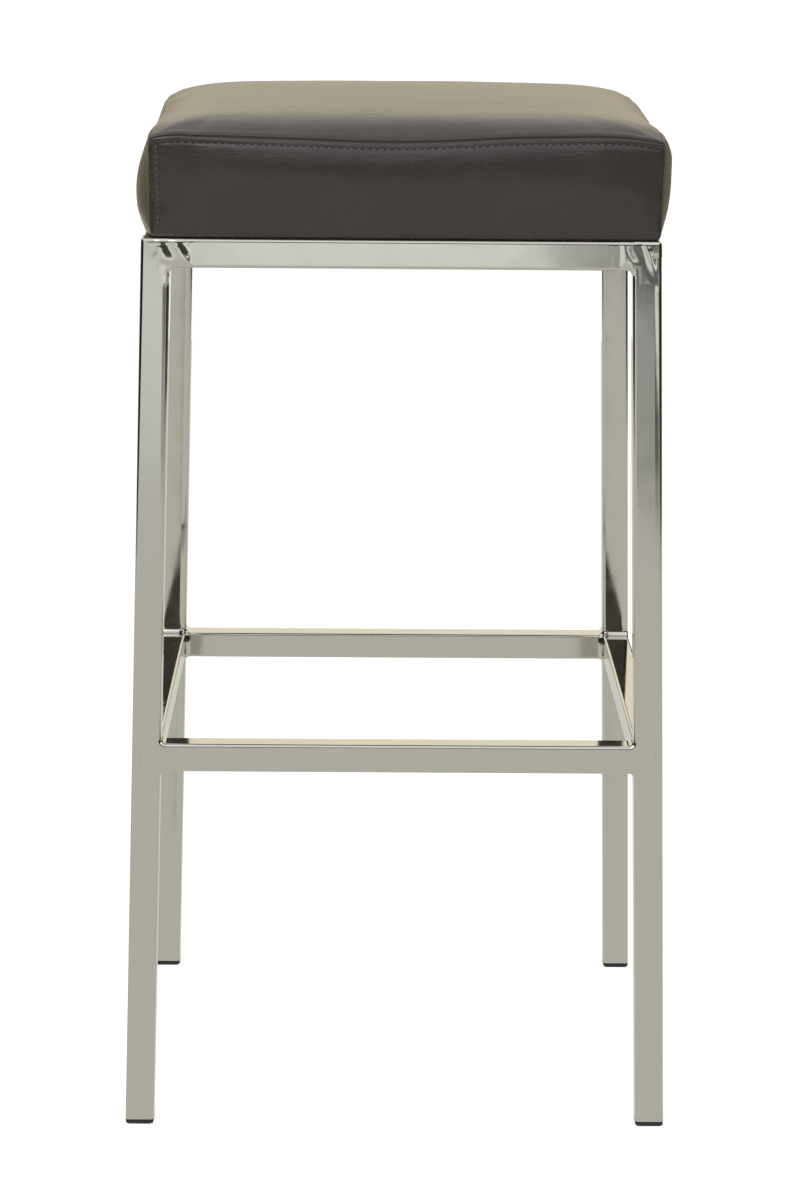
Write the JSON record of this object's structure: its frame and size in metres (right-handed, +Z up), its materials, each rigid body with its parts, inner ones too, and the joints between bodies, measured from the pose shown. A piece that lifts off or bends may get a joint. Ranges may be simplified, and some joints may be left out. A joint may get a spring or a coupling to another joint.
{
  "type": "bar stool",
  "caption": "Backless bar stool: square box cushion in dark faux leather on a chromed square-tube frame with splayed legs and a ring of foot rails.",
  "frame": {"origin": "on the floor, under the middle of the seat", "axes": "+X to the right of someone who faces the stool's front, +Y to the rear, +Z up"},
  "size_m": [0.422, 0.422, 0.789],
  "materials": {
    "frame_chrome": "polished chrome plate on welded steel tube",
    "seat_cover": "dark grey-brown faux leather with a fine grain and a soft sheen",
    "foam": "cut polyurethane foam, hidden inside the cover",
    "plywood": "plain birch plywood, hidden inside the cover",
    "dust_cloth": "black non-woven cloth",
    "foot_plastic": "black moulded polyethylene",
    "zinc_fasteners": "bright zinc plate"
  },
  "bodies": {
    "root": {"front_left_leg": "frame_chrome", "front_right_leg": "frame_chrome", "rear_left_leg": "frame_chrome", "rear_right_leg": "frame_chrome", "front_top_rail": "frame_chrome", "rear_top_rail": "frame_chrome", "left_top_rail": "frame_chrome", "right_top_rail": "frame_chrome", "front_foot_rail": "frame_chrome", "rear_foot_rail": "frame_chrome", "left_foot_rail": "frame_chrome", "right_foot_rail": "frame_chrome", "leg_top_plates": "frame_chrome", "top_corner_welds": "frame_chrome", "foot_rail_welds": "frame_chrome", "seat_brackets": "frame_chrome", "front_left_foot": "foot_plastic", "front_right_foot": "foot_plastic", "rear_left_foot": "foot_plastic", "rear_right_foot": "foot_plastic", "top_panel": "seat_cover", "front_boxing": "seat_cover", "rear_boxing": "seat_cover", "left_boxing": "seat_cover", "right_boxing": "seat_cover", "seat_board": "plywood", "seat_foam": "foam", "dust_cover": "dust_cloth", "cover_staples": "zinc_fasteners", "tee_nuts": "zinc_fasteners", "seat_screws": "zinc_fasteners", "screw_washers": "zinc_fasteners"}
  },
  "joints": []
}
